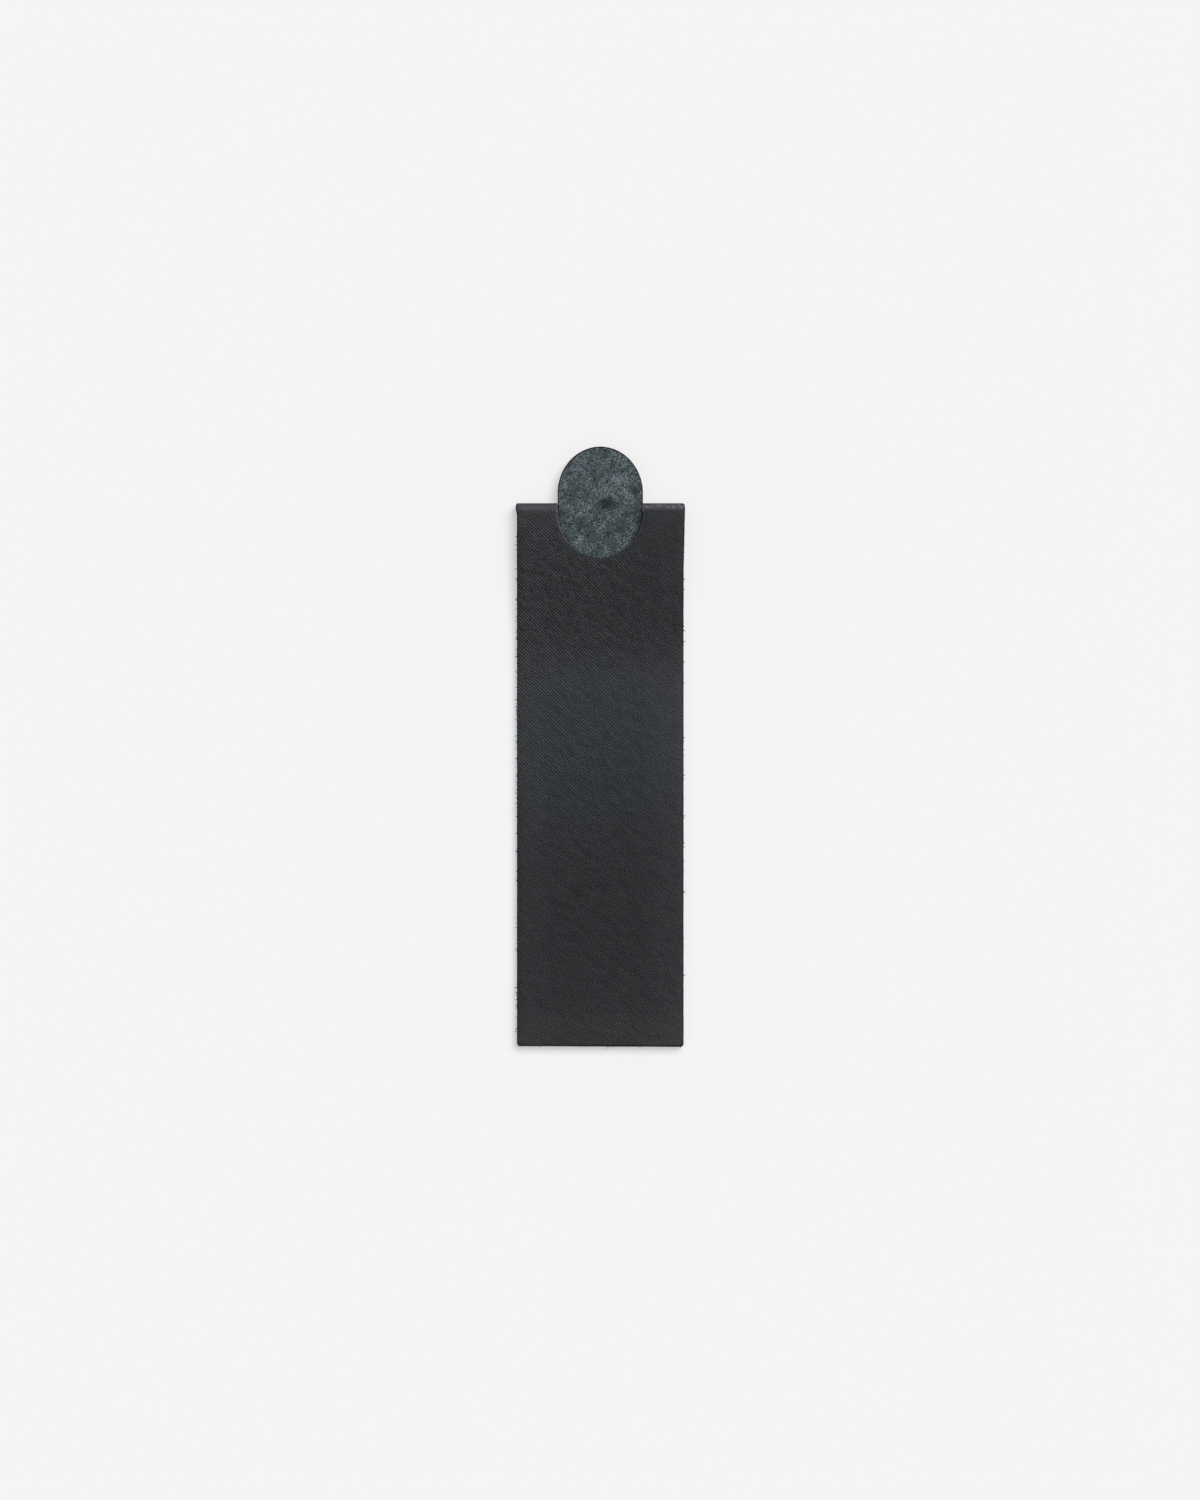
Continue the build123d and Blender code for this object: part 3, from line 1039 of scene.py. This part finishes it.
@dataclass
class HidePiece:
    """A piece cut from the hide: flat blank, eased edges, ragged cut and folded shape."""

    name: str
    hide: Hide
    zone: Zone
    grain_ease: float = 0.3 * MM
    flesh_ease: float = 0.12 * MM
    ease_steps: int = 3
    corner_steps: int = 5
    # The cut strays from its line by as much as the fray, and wanders over about the fray's length.
    fray: float = 0.05 * MM
    fray_length: float = 0.9 * MM
    # Spacing of the slices that let the piece bend, and their number through it and over a quarter of fold.
    column: float = 2.3 * MM
    row: float = 1.2 * MM
    layers: int = 3
    fold_steps: int = 24
    end_steps: int = 48
    sharp_angle: float = math.radians(24)
    # A face is grain where it looks up by more than this, flesh where it looks straight down, or else cut.
    grain_up: float = 0.2
    flesh_up: float = -0.98
    # A point whose faces all look up or down by more than this isn't on the cut.
    level: float = 0.9
    flat_size: tuple[float, float] = field(init=False)
    flat_area: float = field(init=False)
    piece: bpy.types.Object = field(init=False)

    def outline(self, bm: BMesh) -> list[BMVert]:
        """Gives the corners of the flat blank in order."""
        raise NotImplementedError

    def joined(self, point: Vector) -> bool:
        """Says whether a point of the blank is on a line where the hide goes on in the next piece."""
        raise NotImplementedError

    def rounded_end(self, bm: BMesh, half: float, depth: float, at: float) -> list[BMVert]:
        """Spins a half ellipse from one vertex.

        Args:
            bm: Mesh that takes it.
            half: Half its width.
            depth: How far its tip goes past its ends, towards the front.
            at: Where its ends are along the strip.

        Returns:
            Its vertices, from the right end to the left.
        """
        first = bm.verts.new((half, at, 0))
        bmesh.ops.spin(
            bm, geom=[first], cent=(0, at, 0), axis=(0, 0, 1), angle=-math.pi, steps=self.end_steps
        )
        chain = sorted(bm.verts, key=lambda vert: -vert.co.x)
        bmesh.ops.scale(
            bm, vec=(1, depth / half, 1), space=Matrix.Translation((0, -at, 0)), verts=chain
        )
        return chain

    def round_corners(self, bm: BMesh) -> None:
        """Rounds the free corners of the blank.

        Args:
            bm: The blank.
        """
        end = max(abs(vert.co.y) for vert in bm.verts)
        corners = [vert for vert in bm.verts if abs(abs(vert.co.y) - end) < TINY + self.hide.tail_slant]
        bmesh.ops.bevel(
            bm, geom=corners, affect="VERTICES", offset=self.hide.corner, segments=self.corner_steps,
            profile=0.5, material=-1,
        )

    def measure(self, bm: BMesh) -> None:
        """Notes the width, length and area that the blank was cut to.

        Args:
            bm: The blank.
        """
        across = [vert.co.x for vert in bm.verts]
        along = [vert.co.y for vert in bm.verts]
        self.flat_size = (max(across) - min(across), max(along) - min(along))
        self.flat_area = sum(face.calc_area() for face in bm.faces)

    def thicken(self, bm: BMesh, face: BMFace) -> None:
        """Gives the blank its thickness, below the grain face.

        Args:
            bm: The blank.
            face: Its one face.
        """
        grown = bmesh.ops.extrude_face_region(bm, geom=[face])
        moved = [item for item in grown["geom"] if isinstance(item, BMVert)]
        bmesh.ops.translate(bm, vec=(0, 0, -self.hide.thickness), verts=moved)
        bmesh.ops.recalc_face_normals(bm, faces=bm.faces[:])

    def ease_edges(self, bm: BMesh) -> None:
        """Rounds the rim, more on the grain side than on the flesh side.

        Args:
            bm: The blank.
        """
        for level, ease in ((0.0, self.grain_ease), (-self.hide.thickness, self.flesh_ease)):
            rim = [
                edge for edge in bm.edges
                if all(abs(vert.co.z - level) < TINY for vert in edge.verts)
                and not all(self.joined(vert.co) for vert in edge.verts)
            ]
            bmesh.ops.bevel(
                bm, geom=rim, affect="EDGES", offset=ease, segments=self.ease_steps, profile=0.5, material=-1,
                clamp_overlap=True,
            )

    def cut_lines(self) -> list[tuple[Vector, Vector]]:
        """Gives the planes that slice the blank, so that it can bend and fray.

        Returns:
            A point and a direction for each plane.
        """
        half, quarter, thickness = self.hide.width / 2, self.hide.quarter, self.hide.thickness
        planes = [(Vector(), Vector((1, 0, 0)))]
        columns = [self.column * i for i in range(1, int(half / self.column) + 1)]
        planes += [(Vector((side * x, 0, 0)), Vector((1, 0, 0))) for x in columns for side in (-1, 1)]
        reach = max(self.hide.length(Zone.FRONT), self.hide.length(Zone.BACK))
        rows = [quarter * i / self.fold_steps for i in range(1, self.fold_steps + 1)]
        rows += [quarter + self.row * i for i in range(1, int((reach - quarter) / self.row) + 1)]
        planes += [(Vector((0, side * y, 0)), Vector((0, 1, 0))) for y in rows for side in (-1, 1)]
        depths = [thickness * i / self.layers for i in range(1, self.layers)]
        return planes + [(Vector((0, 0, -depth)), Vector((0, 0, 1))) for depth in depths]

    def slice(self, bm: BMesh) -> None:
        """Cuts the blank along its planes.

        Args:
            bm: The blank.
        """
        lows = Vector(min(vert.co[i] for vert in bm.verts) for i in range(3))
        highs = Vector(max(vert.co[i] for vert in bm.verts) for i in range(3))
        for point, direction in self.cut_lines():
            if lows.dot(direction) < point.dot(direction) < highs.dot(direction):
                bmesh.ops.bisect_plane(
                    bm, geom=bm.verts[:] + bm.edges[:] + bm.faces[:], dist=TINY, plane_co=point,
                    plane_no=direction,
                )

    def paint(self, bm: BMesh) -> None:
        """Gives each face its surface, its shading and its place on the flat hide.

        Args:
            bm: The blank.
        """
        place = bm.loops.layers.uv.new(UV_NAME)
        bm.normal_update()
        for edge in bm.edges:
            edge.smooth = edge.calc_face_angle(math.pi) < self.sharp_angle
        for face in bm.faces:
            side = Side.CUT
            if face.normal.z > self.grain_up:
                side = Side.GRAIN
            elif face.normal.z < self.flesh_up:
                side = Side.FLESH
            face.smooth = True
            face.material_index = side.value
            for loop in face.loops:
                x, y, z = loop.vert.co
                loop[place].uv = (x + y, z) if side is Side.CUT else (x, y)

    def ragged(self, bm: BMesh) -> None:
        """Roughens the cut, which no die leaves quite straight.

        Args:
            bm: The blank.
        """
        moves = {}
        for vert in bm.verts:
            if self.joined(vert.co) or all(abs(face.normal.z) > self.level for face in vert.link_faces):
                continue
            outward = Vector((vert.normal.x, vert.normal.y, 0))
            moves[vert] = outward * self.fray * noise.noise(vert.co / self.fray_length)
        for vert, move in moves.items():
            vert.co += move

    def build(self) -> None:
        """Cuts, eases, frays and folds the piece."""
        bm = bmesh.new()
        bm.faces.new(self.outline(bm))
        self.round_corners(bm)
        self.measure(bm)
        self.thicken(bm, bm.faces[:][0])
        self.ease_edges(bm)
        self.slice(bm)
        self.paint(bm)
        self.ragged(bm)
        for vert in bm.verts:
            vert.co = self.hide.lay(self.zone, vert.co)
        self.piece = new_object(self.name, bm)

    def dress(self, finishes: dict[Side, Material]) -> None:
        """Gives the piece its materials, in the order of its surfaces."""
        for side in Side:
            self.piece.data.materials.append(finishes[side])


@dataclass
class FrontLeaf(HidePiece):
    """The leaf that shows: over the fold, round the window and down to the lifted free end."""

    zone: Zone = Zone.FRONT

    def outline(self, bm: BMesh) -> list[BMVert]:
        """Gives the leaf with the window that the tab left.

        Args:
            bm: Mesh that takes it.

        Returns:
            Its corners in order.
        """
        hide = self.hide
        half, end, slot = hide.width / 2, -hide.length(Zone.FRONT), hide.slot_width / 2
        skew = hide.tail_slant / 2
        window = self.rounded_end(bm, slot, *hide.window_end)
        sides = ((slot, 0), (half, 0), (half, end - skew), (-half, end + skew), (-half, 0), (-slot, 0))
        return [*window[::-1], *(bm.verts.new((x, y, 0)) for x, y in sides)]

    def joined(self, point: Vector) -> bool:
        """Says whether a point is on the crown, where the back leaf takes over."""
        return abs(point.y) < TINY


@dataclass
class BackLeaf(HidePiece):
    """The leaf underneath, up to the crown on both sides of the tab."""

    zone: Zone = Zone.BACK
    column: float = 1.15 * MM

    def outline(self, bm: BMesh) -> list[BMVert]:
        """Gives the leaf with the notch where the tab goes on.

        Args:
            bm: Mesh that takes it.

        Returns:
            Its corners in order.
        """
        hide = self.hide
        half, end, slot, root = hide.width / 2, hide.length(Zone.BACK), hide.slot_width / 2, hide.quarter
        corners = (
            (half, 0), (half, end), (-half, end), (-half, 0),
            (-slot, 0), (-slot, root), (slot, root), (slot, 0),
        )
        return [bm.verts.new((x, y, 0)) for x, y in corners]

    def joined(self, point: Vector) -> bool:
        """Says whether a point is on the crown or at the root of the tab."""
        at_root = abs(point.y - self.hide.quarter) < TINY and abs(point.x) < self.hide.slot_width / 2 + TINY
        return abs(point.y) < TINY or at_root


@dataclass
class IndexTab(HidePiece):
    """The tongue that stays with the back leaf and stands past the fold."""

    zone: Zone = Zone.TAB
    flesh_ease: float = 0.28 * MM
    column: float = 0.575 * MM
    row: float = 0.6 * MM

    def outline(self, bm: BMesh) -> list[BMVert]:
        """Gives the tongue with its rounded tip.

        Args:
            bm: Mesh that takes it.

        Returns:
            Its corners in order.
        """
        hide = self.hide
        half, root = hide.tab_width / 2, hide.quarter
        tip = self.rounded_end(bm, half, hide.tip_depth, root - hide.tongue + hide.tip_depth)
        return [*tip[::-1], *(bm.verts.new((x, root, 0)) for x in (half, -half))]

    def round_corners(self, bm: BMesh) -> None:
        """Leaves the root square, because the back leaf goes on from it."""

    def joined(self, point: Vector) -> bool:
        """Says whether a point is at the root."""
        return abs(point.y - self.hide.quarter) < TINY


@dataclass(frozen=True)
class EdgeRun:
    """A straight run of cut edge on the flat hide, and how thickly hairs stand on it."""

    start: Vector
    end: Vector
    outward: Vector
    tufts_per_metre: float


@dataclass
class EdgeFibres:
    """Hairs that the die left standing out of the cut edge of a leaf."""

    name: str
    zone: Zone
    hide: Hide
    seed: int
    # Tufts per metre of the two sides and of the free end.
    left: float
    right: float
    tail: float
    # Hairs are about 0.03 mm thick and are drawn thicker, so that they show.
    thickness: float = 0.2 * MM
    tip_share: float = 0.25
    corners: int = 3
    # Most are short: a share of chance to this power goes from the shortest to the longest.
    shortest: float = 0.2 * MM
    longest: float = 0.9 * MM
    short_power: int = 3
    most_in_tuft: int = 4
    # How deep they root, and between which shares of the thickness they come out.
    rooted: float = 0.08 * MM
    root_depths: tuple[float, float] = (0.2, 0.9)
    # How far they lean along the edge, and up or down from it.
    sideways: tuple[float, float] = (-1.1, 1.1)
    lift: tuple[float, float] = (-0.35, 0.6)
    piece: bpy.types.Object = field(init=False)

    def runs(self) -> list[EdgeRun]:
        """Gives the runs of cut edge of the leaf, below its fold.

        Returns:
            The two sides and the free end.
        """
        hide, facing = self.hide, -1 if self.zone is Zone.FRONT else 1
        half, inset, length = hide.width / 2, hide.width / 2 - hide.corner, hide.length(self.zone)
        top, end, tip = facing * 2 * hide.quarter, facing * (length - hide.corner), facing * length
        sides = [
            EdgeRun(Vector((side * half, top, 0)), Vector((side * half, end, 0)), Vector((side, 0, 0)), tufts)
            for side, tufts in ((-1, self.left), (1, self.right))
        ]
        tail = EdgeRun(Vector((-inset, tip, 0)), Vector((inset, tip, 0)), Vector((0, facing, 0)), self.tail)
        return [*sides, tail]

    def stand(self, bm: BMesh, root: Vector, run: EdgeRun, dice: random.Random) -> None:
        """Stands one hair on the edge.

        Args:
            bm: Mesh that takes it.
            root: Where it comes out of the edge.
            run: The edge.
            dice: Source of chance.
        """
        along = (run.end - run.start).normalized()
        off_table = 1 if self.zone is Zone.FRONT else -1
        lean = run.outward + along * dice.uniform(*self.sideways)
        lean = lean + Vector((0, 0, off_table * dice.uniform(*self.lift)))
        lean.normalize()
        length = self.shortest + (self.longest - self.shortest) * dice.random() ** self.short_power
        turn = lean.to_track_quat("Z", "Y").to_matrix().to_4x4()
        place = Matrix.Translation(root - lean * self.rooted + lean * (length + self.rooted) / 2)
        bmesh.ops.create_cone(
            bm, cap_ends=True, segments=self.corners, radius1=self.thickness / 2,
            radius2=self.tip_share * self.thickness / 2, depth=length + self.rooted, matrix=place @ turn,
        )

    def build(self) -> None:
        """Stands tufts of hairs along every run, and folds them with the hide."""
        bm, dice = bmesh.new(), random.Random(self.seed)
        for run in self.runs():
            for _ in range(round((run.end - run.start).length * run.tufts_per_metre)):
                root = run.start.lerp(run.end, dice.random())
                root.z = -self.hide.thickness * dice.uniform(*self.root_depths)
                for _ in range(dice.randint(1, self.most_in_tuft)):
                    self.stand(bm, root, run, dice)
        place = bm.loops.layers.uv.new(UV_NAME)
        for face in bm.faces:
            for loop in face.loops:
                loop[place].uv = loop.vert.co.xy
        for vert in bm.verts:
            vert.co = self.hide.lay(self.zone, vert.co)
        self.piece = new_object(self.name, bm)

    def dress(self, finish: Material) -> None:
        """Gives the hairs their material."""
        self.piece.data.materials.append(finish)


@dataclass
class Studio:
    """Pale floor, soft key light from the upper right, even fill and a camera straight above."""

    floor_size: float = 6.0
    floor_drop: float = 0.02 * MM
    key_share: float = 0.68
    key_elevation: float = math.radians(55)
    key_bearing: float = math.radians(52)
    key_width: float = math.radians(40)
    # The tent is as pale as the floor low down, and dimmer overhead.
    tent: Ramp = Ramp(0.02, 0.3, 0.9, 0.32)
    image_size: tuple[int, int] = (1200, 1500)
    pixels_per_metre: float = 3622.0
    object_centre: tuple[float, float] = (600.3, 746.6)
    distance: float = 1.1
    sensor: float = 36.0

    def lay_floor(self) -> None:
        """Makes the floor that the object lies on."""
        bm = bmesh.new()
        bmesh.ops.create_grid(bm, x_segments=2, y_segments=2, size=self.floor_size / 2)
        bmesh.ops.translate(bm, vec=(0, 0, -self.floor_drop), verts=bm.verts[:])
        floor = new_object("floor", bm)
        floor.data.materials.append(PaperSweep().build())

    def light(self) -> None:
        """Sets the key light and the tent, which together light the floor to its own colour."""
        lamp = bpy.data.lights.new("key", "SUN")
        lamp.energy = self.key_share * math.pi / math.sin(self.key_elevation)
        lamp.angle = self.key_width
        key = bpy.data.objects.new("key", lamp)
        flat = math.cos(self.key_elevation)
        towards = Vector((
            flat * math.cos(self.key_bearing), flat * math.sin(self.key_bearing), math.sin(self.key_elevation)
        ))
        key.rotation_mode = "QUATERNION"
        key.rotation_quaternion = towards.to_track_quat("Z", "Y")
        bpy.context.scene.collection.objects.link(key)
        world = bpy.data.worlds.new("light_tent")
        bpy.context.scene.world = world
        world.use_nodes = True
        tree = world.node_tree
        tree.nodes.clear()
        height = add(tree, "SeparateXYZ", {0: add(tree, "TexCoord").outputs["Generated"]}).outputs["Z"]
        strength = add(tree, "MapRange", self.tent.of(height), **EASED)
        tent = add(tree, "Background", {"Color": (1.0, 1.0, 1.0, 1.0), "Strength": strength})
        add(tree, "OutputWorld", {"Surface": tent})

    def aim_camera(self) -> None:
        """Puts the camera over the object as the photograph has it."""
        lens = bpy.data.cameras.new("camera")
        lens.sensor_width = self.sensor
        lens.lens = self.sensor * self.distance * self.pixels_per_metre / max(self.image_size)
        camera = bpy.data.objects.new("camera", lens)
        bpy.context.scene.collection.objects.link(camera)
        low, high = CAD_BOX
        middle = (low + high) / 2
        off_x = (self.image_size[0] / 2 - self.object_centre[0]) / self.pixels_per_metre
        off_y = (self.object_centre[1] - self.image_size[1] / 2) / self.pixels_per_metre
        camera.location = (middle.x + off_x, middle.y + off_y, high.z / 2 + self.distance)
        bpy.context.scene.camera = camera

    def build(self) -> None:
        """Sets the whole studio."""
        self.lay_floor()
        self.light()
        self.aim_camera()
        bpy.context.scene.view_settings.view_transform = "Standard"


def main() -> None:
    """Builds the studio and the bookmark, piece by piece."""
    logging.basicConfig(level=logging.INFO, format="%(name)s: %(message)s")
    Studio().build()
    hide = Hide()
    finishes = {
        Side.GRAIN: EmbossedLeather().build(hide),
        Side.FLESH: NappedFlesh().build(hide),
        Side.CUT: CutEdge().build(),
    }
    unfolded = {**finishes, Side.GRAIN: EmbossedLeather("plated_calf_tab_grain", fold_wear_and_highlights=0.0).build(hide)}
    front = FrontLeaf("front_leather", hide)
    back = BackLeaf("back_leather", hide)
    tab = IndexTab("tab_leather", hide)
    for part, surfaces in ((front, finishes), (back, finishes), (tab, unfolded)):
        part.build()
        part.dress(surfaces)
        LOG.info("%s: %d faces", part.name, len(part.piece.data.polygons))
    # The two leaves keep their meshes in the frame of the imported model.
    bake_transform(front.piece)
    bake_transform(back.piece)
    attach(tab.piece, "back")
    hair = LooseFibre().build()
    front_hairs = EdgeFibres("front_edge_fibres", Zone.FRONT, hide, seed=11, left=520, right=110, tail=90)
    back_hairs = EdgeFibres("back_edge_fibres", Zone.BACK, hide, seed=23, left=260, right=90, tail=90)
    for hairs, body in ((front_hairs, "front"), (back_hairs, "back")):
        hairs.build()
        hairs.dress(hair)
        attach(hairs.piece, body)
        LOG.info("%s: %d faces", hairs.name, len(hairs.piece.data.polygons))
    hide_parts("front_leaf", "fold_left", "fold_right")
    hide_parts("back_leaf")
    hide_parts("index_tab")


if __name__ == "__main__":
    main()
